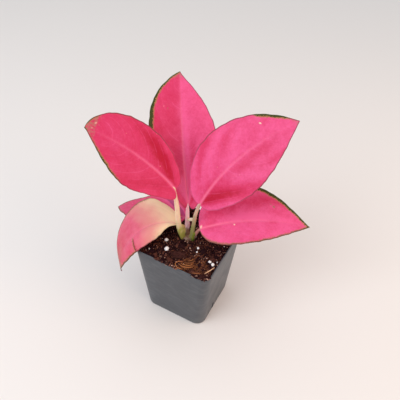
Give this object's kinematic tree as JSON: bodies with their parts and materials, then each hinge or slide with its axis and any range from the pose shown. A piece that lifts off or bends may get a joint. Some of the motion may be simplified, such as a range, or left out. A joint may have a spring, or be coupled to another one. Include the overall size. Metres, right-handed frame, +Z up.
{
  "type": "potted chinese evergreen",
  "caption": "Young pink-leaved Chinese evergreen with broad folded leaves on pale stalks, in a tapered square plastic nursery pot of dark potting mix.",
  "frame": {"origin": "middle of the pot's flat underside", "axes": "+Z up; the pot's walls face X and Y; the drooping leaf hangs over the -X -Y corner and the lower right leaf reaches towards +X"},
  "size_m": [0.2174, 0.1448, 0.2376],
  "materials": {
    "pot_plastic": "thin injection-moulded black polypropylene, satin",
    "potting_mix": null,
    "leaf_stalk": null,
    "pink_leaf": null,
    "pale_leaf": null,
    "perlite": "expanded volcanic glass grain, white, rough; paper stands in for its look",
    "bark": "weathered bark chip"
  },
  "bodies": {
    "root": {"pot": "pot_plastic", "soil": "potting_mix", "stem": "leaf_stalk", "leaf_back": "pink_leaf", "leaf_left": "pink_leaf", "leaf_right": "pink_leaf", "leaf_low_right": "pink_leaf", "leaf_drooping": "pale_leaf", "leaf_low_back": "pink_leaf", "perlite_1": "perlite", "perlite_2": "perlite", "perlite_3": "perlite", "perlite_4": "perlite", "perlite_5": "perlite", "perlite_6": "perlite", "perlite_7": "perlite", "perlite_8": "perlite", "perlite_9": "perlite", "perlite_10": "perlite", "bark_chip": "bark"}
  },
  "joints": []
}
